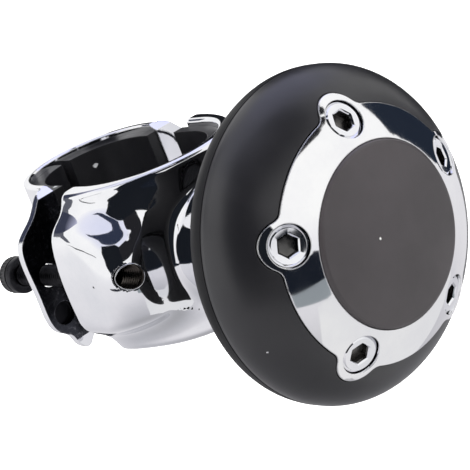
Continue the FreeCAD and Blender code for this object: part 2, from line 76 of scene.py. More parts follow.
def makeCamera():
    data = bpy.data.cameras.new("photoCamera")
    data.lens = camera["lens"]
    data.sensor_width = camera["sensor"]
    data.clip_start = camera["nearest"]
    data.clip_end = camera["farthest"]
    eye = bpy.data.objects.new("photoCamera", data)
    bpy.context.scene.collection.objects.link(eye)
    turn = Matrix((camera["right"], camera["up"], camera["back"])).transposed().to_4x4()
    eye.matrix_world = Matrix.Translation(camera["place"]) @ turn
    bpy.context.scene.camera = eye


makeCamera()
print("camera placed")


# small helpers for node trees

def newFinish(name):
    finish = bpy.data.materials.new(name)
    finish.use_nodes = True
    tree = finish.node_tree
    return finish, tree, tree.nodes["Principled BSDF"]


def addNode(tree, kind, **settings):
    node = tree.nodes.new(kind)
    for key, value in settings.items():
        if key.startswith("in_"):
            node.inputs[key[3:].replace("_", " ")].default_value = value
        else:
            setattr(node, key, value)
    return node


def maths(tree, operation, first, second=None, third=None):
    node = tree.nodes.new("ShaderNodeMath")
    node.operation = operation
    for slot, value in enumerate((first, second, third)):
        if value is None:
            continue
        if isinstance(value, (int, float)):
            node.inputs[slot].default_value = value
        else:
            tree.links.new(value, node.inputs[slot])
    return node.outputs[0]


def objectSpace(tree, stretch=(1, 1, 1)):
    place = tree.nodes.new("ShaderNodeTexCoord")
    mapping = tree.nodes.new("ShaderNodeMapping")
    mapping.inputs["Scale"].default_value = stretch
    tree.links.new(place.outputs["Object"], mapping.inputs["Vector"])
    return mapping.outputs["Vector"]


def noise(tree, where, scale, detail=3.0, rough=0.5):
    node = addNode(tree, "ShaderNodeTexNoise", in_Scale=scale, in_Detail=detail, in_Roughness=rough)
    tree.links.new(where, node.inputs["Vector"])
    return node.outputs["Fac"]


def ramp(tree, value, stops):
    node = tree.nodes.new("ShaderNodeValToRGB")
    bar = node.color_ramp
    while len(bar.elements) < len(stops):
        bar.elements.new(0.5)
    for element, (spot, colour) in zip(bar.elements, stops):
        element.position = spot
        element.color = (*colour, 1)
    tree.links.new(value, node.inputs["Fac"])
    return node.outputs["Color"]


def spread(tree, value, low, high, fromLow=0.3, fromHigh=0.7):
    node = tree.nodes.new("ShaderNodeMapRange")
    node.inputs["From Min"].default_value = fromLow
    node.inputs["From Max"].default_value = fromHigh
    node.inputs["To Min"].default_value = low
    node.inputs["To Max"].default_value = high
    tree.links.new(value, node.inputs["Value"])
    return node.outputs["Result"]


def bump(tree, height, depth, under=None):
    node = tree.nodes.new("ShaderNodeBump")
    node.inputs["Strength"].default_value = 1.0
    node.inputs["Distance"].default_value = depth
    tree.links.new(height, node.inputs["Height"])
    if under is not None:
        tree.links.new(under, node.inputs["Normal"])
    return node.outputs["Normal"]


def softEdge(tree, radius):
    node = tree.nodes.new("ShaderNodeBevel")
    node.samples = 4
    node.inputs["Radius"].default_value = radius
    return node.outputs["Normal"]


def mixTone(tree, share, one, two):
    mix = tree.nodes.new("ShaderNodeMix")
    mix.data_type = "RGBA"
    tree.links.new(share, mix.inputs["Factor"])
    for slot, value in (("A", one), ("B", two)):
        if isinstance(value, tuple):
            mix.inputs[slot].default_value = (*value, 1)
        else:
            tree.links.new(value, mix.inputs[slot])
    return mix.outputs["Result"]


def markSpecksAndGlints(tree, where, colour, specksAndGlints, ragSize=2600.0):
    # small specks of dust and painted glints at fixed places, with uneven edges
    rag = noise(tree, where, ragSize, 2.0)
    for place, radius, tone in specksAndGlints:
        away = tree.nodes.new("ShaderNodeVectorMath")
        away.operation = "DISTANCE"
        tree.links.new(where, away.inputs[0])
        away.inputs[1].default_value = place
        reach = maths(tree, "MULTIPLY", rag, radius * 2)
        colour = mixTone(tree, maths(tree, "LESS_THAN", away.outputs["Value"], reach), colour, tone)
    return colour


# chrome: sizes are noise scales, depths are metres

chromeLook = {
    "tone": (0.93, 0.93, 0.95),
    "dull": (0.84, 0.85, 0.88),
    "gloss": (0.03, 0.075),
    "filmSize": 60.0,
    "glossSize": 220.0,
    "waveSize": 90.0,
    "waveDepth": 0.000012,
    "grainSize": 2600.0,
    "grainDepth": 0.00000018,
    "mottleSize": 900.0,
    "holeRough": 0.35,
    "faceRough": 0.16,
}


def insideHole(tree, split, hole):
    aside = maths(tree, "SUBTRACT", maths(tree, "ABSOLUTE", split.outputs["X"]), hole["x"])
    above = maths(tree, "SUBTRACT", split.outputs["Z"], hole["z"])
    asideSquare = maths(tree, "MULTIPLY", aside, aside)
    aboveSquare = maths(tree, "MULTIPLY", above, above)
    far = maths(tree, "SQRT", maths(tree, "ADD", asideSquare, aboveSquare))
    near = maths(tree, "LESS_THAN", far, hole["radius"])
    return maths(tree, "MULTIPLY", near, maths(tree, "LESS_THAN", split.outputs["Y"], hole["behind"]))


def onLeftFace(tree, split, face):
    ahead = maths(tree, "LESS_THAN", split.outputs["Y"], face["y"])
    left = maths(tree, "MULTIPLY", ahead, maths(tree, "LESS_THAN", split.outputs["X"], 0.0))
    return maths(tree, "MULTIPLY", left, maths(tree, "GREATER_THAN", split.outputs["Z"], face["z"]))


def chrome(name, look, darkHole=None, edge=0.0, darkFace=None, specksAndGlints=()):
    finish, tree, shader = newFinish(name)
    where = objectSpace(tree)
    shader.inputs["Metallic"].default_value = 1.0
    film = noise(tree, where, look["filmSize"], 5.0, 0.6)
    colour = ramp(tree, film, [(0.35, look["dull"]), (0.6, look["tone"])])
    rough = spread(tree, noise(tree, where, look["glossSize"], 4.0), *look["gloss"])
    wave = noise(tree, where, look["waveSize"], 2.0)
    wave = bump(tree, wave, look["waveDepth"], softEdge(tree, edge) if edge else None)
    grain = bump(tree, noise(tree, where, look["grainSize"], 2.0), look["grainDepth"], wave)
    tree.links.new(grain, shader.inputs["Normal"])
    split = tree.nodes.new("ShaderNodeSeparateXYZ")
    tree.links.new(where, split.inputs[0])
    if darkHole:
        # painted shade inside the holes on both sides: a dark metal tone, with rougher metal there
        inside = insideHole(tree, split, darkHole)
        colour = mixTone(tree, inside, colour, darkHole["tone"])
        rough = maths(tree, "MULTIPLY_ADD", inside, look["holeRough"], rough)
    if darkFace:
        # painted shade on the strap flange's front face in the gap between the flanges, dark with lighter
        # flecks, and rougher
        inside = onLeftFace(tree, split, darkFace)
        mottle = noise(tree, where, look["mottleSize"], 6.0, 0.7)
        mottle = ramp(tree, mottle, [(0.52, darkFace["tone"]), (0.72, darkFace["fleck"])])
        colour = mixTone(tree, inside, colour, mottle)
        rough = maths(tree, "MULTIPLY_ADD", inside, look["faceRough"], rough)
    colour = markSpecksAndGlints(tree, where, colour, specksAndGlints)
    tree.links.new(colour, shader.inputs["Base Color"])
    tree.links.new(rough, shader.inputs["Roughness"])
    return finish


# plastics, rubber and foam, from a deep tone to a worn one

plasticGrain = {
    "cloudSize": 45.0,
    "glossSize": 130.0,
    "edge": 0.0003,
    "shine": 0.5,
}

softTouchLook = {
    "deep": (0.007, 0.007, 0.009),
    "worn": (0.012, 0.0115, 0.014),
    "gloss": (0.31, 0.38),
    "shine": 0.72,
    "skinSize": 2400.0,
    "skinDepth": 0.000006,
}


def mouldedPlastic(name, look, specksAndGlints=()):
    finish, tree, shader = newFinish(name)
    where = objectSpace(tree)
    cloud = noise(tree, where, plasticGrain["cloudSize"], 6.0, 0.62)
    colour = ramp(tree, cloud, [(0.3, look["deep"]), (0.72, look["worn"])])
    colour = markSpecksAndGlints(tree, where, colour, specksAndGlints)
    tree.links.new(colour, shader.inputs["Base Color"])
    rough = spread(tree, noise(tree, where, plasticGrain["glossSize"], 5.0), *look["gloss"])
    tree.links.new(rough, shader.inputs["Roughness"])
    skin = noise(tree, where, look["skinSize"], 3.0, 0.6)
    skin = bump(tree, skin, look["skinDepth"], softEdge(tree, plasticGrain["edge"]))
    tree.links.new(skin, shader.inputs["Normal"])
    shader.inputs["Specular IOR Level"].default_value = look.get("shine", plasticGrain["shine"])
    return finish


capLook = {
    "deep": (0.034, 0.029, 0.031),
    "worn": (0.054, 0.046, 0.050),
    "gloss": (0.36, 0.44),
    "shine": 0.6,
    "skinSize": 3000.0,
    "skinDepth": 0.000006,
}

rubberLook = {
    "deep": (0.003, 0.003, 0.004),
    "worn": (0.009, 0.009, 0.011),
    "gloss": (0.28, 0.50),
    "skinSize": 1300.0,
    "skinDepth": 0.00003,
}

coverLook = {
    "deep": (0.003, 0.003, 0.004),
    "worn": (0.006, 0.006, 0.007),
    "gloss": (0.40, 0.52),
    "shine": 0.16,
    "skinSize": 1800.0,
    "skinDepth": 0.00002,
}

nylonLook = {
    "deep": (0.05, 0.11, 0.42),
    "worn": (0.09, 0.17, 0.52),
    "gloss": (0.38, 0.5),
    "skinSize": 900.0,
    "skinDepth": 0.00001,
}

foamLook = {
    "deep": (0.03, 0.03, 0.032),
    "worn": (0.08, 0.08, 0.082),
    "gloss": (0.8, 0.95),
    "skinSize": 2600.0,
    "skinDepth": 0.00012,
}


turnedGrain = {
    "filmSize": 240.0,
    "glossSize": 700.0,
    "edge": 0.00012,
    "squeeze": (0.02, 1.0, 0.02),
}


def turnedMetal(name, tone, dull, gloss, lineSize=5200.0, lineDepth=0.000002):
    # lathe lines run round the Y axis, so the noise is squeezed along it
    finish, tree, shader = newFinish(name)
    where = objectSpace(tree)
    along = objectSpace(tree, turnedGrain["squeeze"])
    shader.inputs["Metallic"].default_value = 1.0
    film = noise(tree, where, turnedGrain["filmSize"], 6.0, 0.65)
    tree.links.new(ramp(tree, film, [(0.35, dull), (0.66, tone)]), shader.inputs["Base Color"])
    rough = spread(tree, noise(tree, where, turnedGrain["glossSize"], 4.0), *gloss)
    tree.links.new(rough, shader.inputs["Roughness"])
    lines = bump(tree, noise(tree, along, lineSize, 2.0), lineDepth, softEdge(tree, turnedGrain["edge"]))
    tree.links.new(lines, shader.inputs["Normal"])
    return finish


# painted shade inside the bolt holes: dark tones put where the holes' insides fall in shade
boltHolePaintedShade = {"x": 0.0268, "z": 0.0022, "radius": 0.00272, "behind": 1.0, "tone": (0.07, 0.06, 0.055)}
blindHolePaintedShade = {"x": 0.0268, "z": -0.0076, "radius": 0.0028, "behind": 0.01705, "tone": (0.03, 0.03, 0.035)}
# painted shade on the strap flange's front face, which faces the casting across the gap
flangeFacePaintedShade = {"y": 0.01556, "z": -0.0149, "tone": (0.05, 0.052, 0.062), "fleck": (0.26, 0.26, 0.28)}

# place, radius and tone of each speck of dust and each painted glint in the finishes
castingSpecks = [
    ((-0.03118, -0.00698, 0.00172), 0.00028, (0.03, 0.03, 0.03)),
    ((-0.01359, -0.01561, -0.01043), 0.0008, (0.05, 0.05, 0.06)),
]
knobSpecks = [((-0.03244, -0.05913, -0.01125), 0.00022, (0.35, 0.35, 0.37))]
capSpecks = [((-0.00469, -0.07119, 0.00002), 0.00028, (0.75, 0.75, 0.72))]
# painted glints on the rubber pads: light spots standing in for highlights
padPaintedGlints = [
    ((0.00663, 0.0305, 0.01484), 0.0006, (0.55, 0.56, 0.58)),
    ((-0.01415, 0.01828, 0.0188), 0.0007, (0.35, 0.36, 0.38)),
]

strapLook = dict(chromeLook, waveSize=60.0, waveDepth=0.00001)
threadLook = dict(chromeLook, tone=(0.16, 0.145, 0.13), dull=(0.07, 0.06, 0.055), gloss=(0.18, 0.32))
ringLook = dict(chromeLook, tone=(0.97, 0.97, 0.97), dull=(0.90, 0.90, 0.92))
ringLook.update(waveSize=70.0, waveDepth=0.000006)
screwLook = dict(chromeLook, gloss=(0.05, 0.11), waveSize=300.0, waveDepth=0.000002)
# painted shade deep in the trim screws' sockets: a dark metal tone
socketShadeLook = dict(chromeLook, tone=(0.20, 0.19, 0.18), dull=(0.08, 0.08, 0.08), gloss=(0.16, 0.3))

finishes = {finish.name: finish for finish in (
    chrome("castingChrome", chromeLook, boltHolePaintedShade, specksAndGlints=castingSpecks),
    chrome("strapChrome", strapLook, blindHolePaintedShade, 0.0004, flangeFacePaintedShade),
    chrome("threadSteel", threadLook),
    chrome("ringChrome", ringLook, edge=0.0003),
    chrome("screwChrome", screwLook),
    chrome("socketPaintedShade", socketShadeLook),
    mouldedPlastic("softTouch", softTouchLook, knobSpecks),
    mouldedPlastic("capSatin", capLook, capSpecks),
    mouldedPlastic("padRubber", rubberLook, padPaintedGlints),
    mouldedPlastic("coverPlastic", coverLook),
    mouldedPlastic("insertNylon", nylonLook),
    mouldedPlastic("tapeFoam", foamLook),
    turnedMetal("blackOxide", (0.05, 0.05, 0.055), (0.018, 0.018, 0.02), (0.26, 0.42)),
    turnedMetal("zincSteel", (0.62, 0.62, 0.63), (0.46, 0.46, 0.48), (0.22, 0.36)),
    turnedMetal("groundSteel", (0.70, 0.70, 0.71), (0.58, 0.58, 0.6), (0.12, 0.22)),
    turnedMetal("ballSteel", (0.80, 0.80, 0.81), (0.72, 0.72, 0.74), (0.05, 0.09), 400.0, 0.0000001),
    turnedMetal("cageBrass", (0.72, 0.52, 0.22), (0.55, 0.38, 0.15), (0.24, 0.38)),
    turnedMetal("hubAluminium", (0.72, 0.73, 0.75), (0.6, 0.61, 0.63), (0.2, 0.32), 4200.0, 0.000004),
)}
print("finishes made:", len(finishes))

finishOf = {
    "clamp_front_casting": "castingChrome",
    "clamp_rear_strap": "strapChrome",
    "trim_ring": "ringChrome",
    "trim_screws": "screwChrome",
    "knob_body": "softTouch",
    "knob_rear_cover": "coverPlastic",
    "centre_cap": "capSatin",
    "cap_tape": "tapeFoam",
    "front_pad_right": "padRubber",
    "front_pad_left": "padRubber",
    "rear_pad_right": "padRubber",
    "rear_pad_left": "padRubber",
    "clamp_bolt_left": "blackOxide",
    "clamp_bolt_right": "blackOxide",
    "stem_bolt": "zincSteel",
    "stem_spacer": "zincSteel",
    "bearing_spacer": "zincSteel",
    "stem_washer": "zincSteel",
    "stem_lock_nut": "zincSteel",
    "lock_nut_insert": "insertNylon",
    "threaded_inserts": "cageBrass",
    "bearing_hub": "hubAluminium",
    "bearing_circlip": "blackOxide",
}
for end in ("rear", "front"):
    finishOf[end + "_bearing_outer_ring"] = "groundSteel"
    finishOf[end + "_bearing_inner_ring"] = "groundSteel"
    finishOf[end + "_bearing_balls"] = "ballSteel"
    finishOf[end + "_bearing_cage"] = "cageBrass"
    finishOf[end + "_bearing_shields"] = "zincSteel"

for nodeName, piece in cadNodes.items():
    piece.data.materials.clear()
    piece.data.materials.append(finishes[finishOf[nodeName]])
print("finishes put on", len(cadNodes), "nodes")


# small helpers for meshes

def newPiece(name, points, faces, *coats):
    mesh = bpy.data.meshes.new(name)
    mesh.from_pydata(points, [], faces)
    for coat in coats:
        mesh.materials.append(coat)
    piece = bpy.data.objects.new(name, mesh)
    bpy.context.scene.collection.objects.link(piece)
    return piece


def rowFaces(low, high, count):
    # faces between two closed rows of points, which begin at low and high
    faces = []
    for k in range(count):
        n = (k + 1) % count
        faces.append((low + k, low + n, high + n, high + k))
    return faces


def smooth(piece, sharpFrom=None):
    for face in piece.data.polygons:
        face.use_smooth = True
    if sharpFrom is not None:
        piece.data.set_sharp_from_angle(angle=math.radians(sharpFrom))


def roundPiece(name, rows, centre, finish, sides=96):
    # each row gives radius and place along Y for an angle
    points = []
    faces = []
    for row in rows:
        for k in range(sides):
            angle = 2 * math.pi * k / sides
            radius, along = row(angle)
            points.append((centre[0] + radius * math.cos(angle), along, centre[1] + radius * math.sin(angle)))
    for r in range(len(rows) - 1):
        faces += rowFaces(r * sides, (r + 1) * sides, sides)
    for r in (0, len(rows) - 1):
        along = sum(points[r * sides + k][1] for k in range(sides)) / sides
        points.append((centre[0], along, centre[1]))
        middle = len(points) - 1
        for k in range(sides):
            here, there = r * sides + k, r * sides + (k + 1) % sides
            faces.append((middle, there, here) if r == 0 else (middle, here, there))
    piece = newPiece(name, points, faces, finishes[finish])
    piece.data.validate()
    return piece


# front casting with its junctions blended, as a polished and plated casting has them, in millimetres

castingShape = {
    "shellRadius": 20.7,
    "boreRadius": 17.8,
    "bandTop": 20.5,
    "bandBottom": -20.0,
    "topRound": 1.5,
    "lowRound": 2.0,
    "flangeY": 5.2,
    "neckRadius": 14.8,
    "neckRoot": -12.0,
    "neckEnd": -41.2,
    "neckEndRound": 0.8,
    "neckHeight": -1.3,
    "neckBlend": 2.2,
    "earBlend": 5.5,
    "edgeRound": 1.2,
    "stemHeadHole": 6.8,
    "stemHeadSeat": -27.0,
    "stemHole": 4.25,
    "boltX": 26.8,
    "boltZ": 2.2,
    "boltHole": 2.6,
    "threadRoom": 0.3,
    "threadReach": (-15.0, -14.6, -8.9, -8.5),
    "threadLean": 0.42,
    "mouthY": -15.1,
    "mouthTurn": 27.0,
    "mouthStart": 1.65,
    "mouthRound": 0.35,
    "holeRound": 0.4,
    "leanStep": 0.05,
    "mostLean": 4,
    "gridStep": 0.45,
    "pulls": 4,
    "pullReach": 0.02,
    "mostPull": 0.2,
    "leastSlope": 0.2,
    "normalReach": 0.06,
    "low": (-32.6, -42.4, -21.2),
    "high": (32.6, 6.4, 21.8),
}

# each row gives height, width beyond the shell, front face, corner radius and dip of one ear section
earLevels = [
    (-21.4, -1.6, 1.4, 3.6, 0),
    (-19.6, 0.2, -1, 5, 0),
    (-18.6, 1.3, -2.5, 6.5, 0),
    (-17, 2.5, -4.5, 8.5, 0),
    (-15.4, 3.6, -7.2, 11, 0.2),
    (-13.6, 5.3, -10.5, 13, 0.6),
    (-11.6, 7.9, -13.4, 13, 1.4),
    (-9.7, 9.6, -15.3, 11, 2.2),
    (-7, 10.3, -16.3, 9.2, 2.9),
    (-3, 10.5, -16.8, 8.2, 3.3),
    (1, 10.5, -16.9, 8, 3.4),
    (4.5, 10.3, -16.6, 8.4, 3.2),
    (7, 10, -15.9, 9.4, 2.6),
    (9, 9.7, -15.1, 10.8, 2),
    (10.8, 9.3, -14.1, 12.3, 1.4),
    (12.6, 8.6, -12.9, 13.4, 0.8),
    (13.9, 7.6, -11.9, 13.8, 0.5),
    (15.1, 6.1, -10.9, 13.6, 0.2),
    (16.4, 4.1, -9.5, 12.6, 0),
    (17.9, 2.4, -7.6, 11.2, 0),
    (19.2, 1.2, -5.2, 9.2, 0),
    (20.2, 0.25, -3, 7.2, 0),
    (22.0, -1.2, 0.4, 5, 0),
]


def smoothTable(rows, samples):
    # natural cubic spline through the rows, sampled evenly in height
    table = np.array(rows, float)
    heights, values = table[:, 0], table[:, 1:]
    gap = np.diff(heights)
    count = len(heights)
    system = np.eye(count)
    right = np.zeros((count, values.shape[1]))
    for i in range(1, count - 1):
        system[i, i - 1:i + 2] = (gap[i - 1], 2 * (gap[i - 1] + gap[i]), gap[i])
        right[i] = 6 * ((values[i + 1] - values[i]) / gap[i] - (values[i] - values[i - 1]) / gap[i - 1])
    curve = np.linalg.solve(system, right)
    at = np.linspace(heights[0], heights[-1], samples)
    i = np.clip(np.searchsorted(heights, at) - 1, 0, count - 2)
    t = (at - heights[i])[:, None]
    h = gap[i][:, None]
    slope = (values[i + 1] - values[i]) / h - h * (2 * curve[i] + curve[i + 1]) / 6
    out = values[i] + slope * t + curve[i] * t ** 2 / 2 + (curve[i + 1] - curve[i]) * t ** 3 / (6 * h)
    return at, out


def blendMin(a, b, size):
    # union of two shapes with a soft blend of the given size
    near = np.maximum(size - np.abs(a - b), 0) / size
    return np.minimum(a, b) - near * near * size / 4


def blendMax(a, b, size):
    return -blendMin(-a, -b, size)


def roundCorner(a, b, size):
    # both limits at once, with a round corner between them
    a, b = a + size, b + size
    return np.minimum(np.maximum(a, b), 0) + np.hypot(np.maximum(a, 0), np.maximum(b, 0)) - size


earHeights, earValues = smoothTable(earLevels, 600)


def earField(x, y, z):
    c = castingShape
    beyond, front, corner, dip = (np.interp(z, earHeights, earValues[:, k]) for k in range(4))
    width = c["shellRadius"] + beyond
    front = front + dip * np.maximum(0, 1 - np.abs(x) / (width - corner))
    return roundCorner(np.abs(x) - width, front - y, corner)


def bodyField(x, y, z):
    c = castingShape
    far = np.where(y < 0, np.hypot(x, y), np.abs(x))
    side = far - c["shellRadius"]
    lean = (earField(x, y, z + c["leanStep"]) - earField(x, y, z - c["leanStep"])) / (2 * c["leanStep"])
    ear = earField(x, y, z) / np.sqrt(1 + np.clip(lean, -c["mostLean"], c["mostLean"]) ** 2)
    neck = np.hypot(x, z - c["neckHeight"]) - c["neckRadius"]
    neck = np.maximum(roundCorner(neck, c["neckEnd"] - y, c["neckEndRound"]), y - c["neckRoot"])
    side = blendMin(side, ear, c["earBlend"])
    top = roundCorner(side, z - c["bandTop"], c["topRound"])
    bottom = roundCorner(side, c["bandBottom"] - z, c["lowRound"])
    return blendMin(np.maximum(top, bottom), neck, c["neckBlend"])


def mouthField(x, y, z):
    # cone at the mouth of the bolt hole
    c = castingShape
    aside = np.abs(x) - c["boltX"]
    turn = math.radians(c["mouthTurn"])
    along = aside * math.sin(turn) - (y - c["mouthY"]) * math.cos(turn)
    across = np.hypot(aside * math.cos(turn) + (y - c["mouthY"]) * math.sin(turn), z - c["boltZ"])
    return np.maximum((across - c["mouthStart"] - along) * math.sqrt(0.5), -along)


def castingField(points):
    c = castingShape
    x, y, z = points
    far = np.where(y < 0, np.hypot(x, y), np.abs(x))
    body = blendMax(bodyField(x, y, z), y - c["flangeY"], c["edgeRound"])
    body = blendMax(body, c["boreRadius"] - far, c["edgeRound"])
    fromStem = np.hypot(x, z - c["neckHeight"])
    pocket = np.maximum(fromStem - c["stemHeadHole"], c["stemHeadSeat"] - y)
    body = np.maximum(body, -np.minimum(pocket, np.maximum(fromStem - c["stemHole"], y)))
    aside = np.abs(x) - c["boltX"]
    threaded = np.interp(y - c["threadLean"] * aside, c["threadReach"], (0, 1, 1, 0))
    boltHole = c["boltHole"] + c["threadRoom"] * threaded
    body = blendMax(body, boltHole - np.hypot(aside, z - c["boltZ"]), c["holeRound"])
    return blendMax(body, -mouthField(x, y, z), c["mouthRound"])


def surfaceNet(field, low, high, step):
    # one point in each grid cell that the surface crosses, one face round each edge that it crosses
    axes = [np.arange(low[k], high[k] + step, step) for k in range(3)]
    grid = np.meshgrid(*axes, indexing="ij")
    values = field([g.astype(np.float64) for g in grid])
    inside = values < 0
    size = np.array(values.shape)
    total = int(np.prod(size))
    sums = np.zeros((3, total))
    hits = np.zeros(total)
    edges = []
    for axis in range(3):
        here = [slice(None)] * 3
        there = [slice(None)] * 3
        here[axis] = slice(0, -1)
        there[axis] = slice(1, None)
        here, there = tuple(here), tuple(there)
        where = np.argwhere(inside[here] != inside[there])
        one = values[here][tuple(where.T)]
        two = values[there][tuple(where.T)]
        spot = where.astype(float)
        spot[:, axis] += one / (one - two)
        others = [k for k in range(3) if k != axis]
        cells = []
        for a, b in ((0, 0), (1, 0), (1, 1), (0, 1)):
            cell = where.copy()
            cell[:, others[0]] -= a
            cell[:, others[1]] -= b
            cells.append(np.ravel_multi_index(tuple(cell.T), tuple(size)))
            hits += np.bincount(cells[-1], minlength=total)
            for k in range(3):
                sums[k] += np.bincount(cells[-1], weights=spot[:, k], minlength=total)
        loop = np.stack(cells, axis=1)
        flip = (one < 0) ^ (axis == 1)
        loop[~flip] = loop[~flip][:, ::-1]
        edges.append(loop)
    used = np.flatnonzero(hits)
    number = np.full(total, -1)
    number[used] = np.arange(len(used))
    points = np.stack([sums[k][used] / hits[used] * step + axes[k][0] for k in range(3)])
    return points, number[np.concatenate(edges)]


def slopeOf(field, points, reach):
    slope = np.zeros_like(points)
    for k in range(3):
        more, less = points.copy(), points.copy()
        more[k] += reach
        less[k] -= reach
        slope[k] = (field(more) - field(less)) / (2 * reach)
    return slope


def makeCasting():
    c = castingShape
    points, faces = surfaceNet(castingField, c["low"], c["high"], c["gridStep"])
    for _ in range(c["pulls"]):
        slope = slopeOf(castingField, points, c["pullReach"])
        step = castingField(points) / np.maximum((slope ** 2).sum(axis=0), c["leastSlope"])
        points -= np.clip(step, -c["mostPull"], c["mostPull"]) * slope
    normals = slopeOf(castingField, points, c["normalReach"])
    normals /= np.linalg.norm(normals, axis=0)
    piece = newPiece("polishedCasting", (points.T / 1000).tolist(), faces.tolist(), finishes["castingChrome"])
    smooth(piece)
    piece.data.normals_split_custom_set_from_vertices(normals.T.tolist())
    return piece


casting = makeCasting()
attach(casting, "clamp_body")
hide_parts("clamp_front_casting")
print("front casting made,", 2 * len(casting.data.polygons), "triangles")


# clamp bolts with real threads, a knurled band and a hexagon socket, in metres

boltShape = {
    "seat": 0.0253,
    "tip": -0.0007,
    "crest": 0.0025,
    "root": 0.00208,
    "pitch": 0.0008,
    "turnProfile": ((0.0, "root"), (0.14, "root"), (0.46, "crest"), (0.60, "crest"), (0.94, "root")),
    "tipChamfer": 0.0006,
    "overlap": 0.0004,
    "neck": 0.0027,
    "head": 0.0044,
    "headTop": 0.0303,
    "collar": 0.0019,
    "knurls": 32,
    "knurlDepth": 0.00022,
    "knurlCurve": 0.7,
    "socket": 0.0040,
    "socketFloor": 0.0277,
    "socketEnd": 0.0012,
    "chamfer": 0.00025,
    "chamferDepth": 0.0003,
    "height": 0.0022,
    "aside": 0.0268,
}

# each row gives its level, how far in from the head's radius, how far past the level, and if it is knurled
boltHeadRows = [
    ("seat", 0.0004, 0.0, False),
    ("seat", 0.0001, 0.00012, False),
    ("seat", 0.0, 0.0004, False),
    ("band", 0.0, -0.00025, False),
    ("band", 0.00022, -0.0001, False),
    ("band", 0.00022, 0.0001, False),
    ("band", 0.00002, 0.00028, False),
    ("band", 0.0, 0.0005, True),
    ("top", 0.0, -0.0009, True),
    ("top", 0.00012, -0.0006, False),
    ("top", 0.0005, -0.00012, False),
    ("top", 0.0009, 0.0, False),
]


def hexRadius(angle, flats):
    turn = (angle + math.pi / 6) % (math.pi / 3) - math.pi / 6
    return flats / 2 / math.cos(turn)


def threadRows(shape):
    rows = []
    start, stop = shape["tip"], shape["seat"] + shape["overlap"]
    turns = int((stop - start) / shape["pitch"]) + 2

    def makeRow(turnNumber, share, kind):
        def row(angle):
            along = start + (turnNumber - 1 + share + angle / (2 * math.pi)) * shape["pitch"]
            held = min(max(along, start), stop)
            tipRoom = shape["crest"] - shape["tipChamfer"] + (held - start)
            return (min(shape[kind], tipRoom), held)
        return row

    for turnNumber in range(turns + 1):
        for share, kind in shape["turnProfile"]:
            rows.append(makeRow(turnNumber, share, kind))
    return rows


def makeBolt(name, side, shape):
    def headRow(radius, along, depth):
        def row(angle):
            return (radius - depth * abs(math.sin(angle * shape["knurls"] / 2)) ** shape["knurlCurve"], along)
        return row

    def hexRow(grow, along):
        return lambda angle: (hexRadius(angle, shape["socket"]) + grow, along)

    top, floor = shape["headTop"], shape["socketFloor"]
    levels = {"seat": shape["seat"], "band": shape["seat"] + shape["collar"], "top": top}
    rows = threadRows(shape)
    rows.append(headRow(shape["neck"], shape["seat"], 0.0))
    for level, inward, past, knurled in boltHeadRows:
        depth = shape["knurlDepth"] if knurled else 0.0
        rows.append(headRow(shape["head"] - inward, levels[level] + past, depth))
    rows += [
        hexRow(shape["chamfer"], top),
        hexRow(0.0, top - shape["chamferDepth"]),
        hexRow(0.0, floor),
        headRow(shape["socketEnd"], floor - shape["chamferDepth"], 0.0),
    ]
    bolt = roundPiece(name, rows, (side * shape["aside"], shape["height"]), "blackOxide")
    smooth(bolt, 32)
    return bolt


for sideName, side in (("left", -1), ("right", 1)):
    bolt = makeBolt("clampBolt" + sideName.capitalize(), side, boltShape)
    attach(bolt, "bolt_" + sideName)
    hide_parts("clamp_bolt_" + sideName)
print("clamp bolts made")


# trim screws with bevelled heads, set in the ring's counterbores, in millimetres

screwShape = {
    "count": 5,
    "circle": 25.25,
    "planeY": -53.2,
    "surface": 13.306,
    "height": -1.3,
    "firstTurn": 0.255,
    "tilt": 26.0,
    "head": 4.28,
    "sink": 0.5,
    "bevel": 0.62,
    "seat": 4.2,
    "shank": 2.48,
    "end": 12.0,
    "pitch": 0.8,
    "threadDepth": 0.4,
    "tip": 0.68,
    "tipEase": 0.08,
    "tipChamfer": 0.7,
    "plainShank": 1.2,
    "flats": 4.0,
    "socketDepth": 2.3,
    "socketFloor": 1.1,
    "socketTurns": (12, 38, 30, 20, 5),
    "sides": 72,
}

# each row gives a radius of the screw and how far beyond it, then a depth of the screw and how far beyond it
screwHeadRows = [
    ("shank", 0.0, "seat", 0.6),
    ("shank", 0.0, "seat", 0.0),
    ("head", -0.2, "seat", 0.0),
    ("head", 0.0, "seat", -0.2),
    ("head", 0.0, "bevel", 0.0),
    ("head", -0.08, "bevel", -0.2),
    ("face", 0.12, "face", 0.08),
    ("face", 0.0, "face", 0.0),
    ("face", -0.2, "face", 0.02),
    ("hexagon", 0.52, "face", 0.06),
    ("hexagon", 0.36, "face", 0.08),
    ("hexagon", 0.06, "face", 0.34),
    ("hexagon", 0.0, "face", 0.42),
    ("hexagon", 0.0, "face", 0.95),
    ("hexagon", 0.0, "floor", 0.0),
    ("floor", 0.0, "floor", 0.15),
]


def screwFrame(shape, i):
    a = shape["firstTurn"] + math.radians(72 * i)
    t = math.radians(shape["tilt"])
    outward = Vector((math.cos(a), 0, math.sin(a)))
    side = Vector((-math.sin(a), 0, math.cos(a)))
    ahead = Vector((0, -1, 0))
    axis = ahead * math.cos(t) + outward * math.sin(t)
    across = outward * math.cos(t) - ahead * math.sin(t)
    centre = Vector((0, shape["planeY"], shape["height"]))
    return centre + outward * shape["circle"] + ahead * shape["surface"], axis, across, side


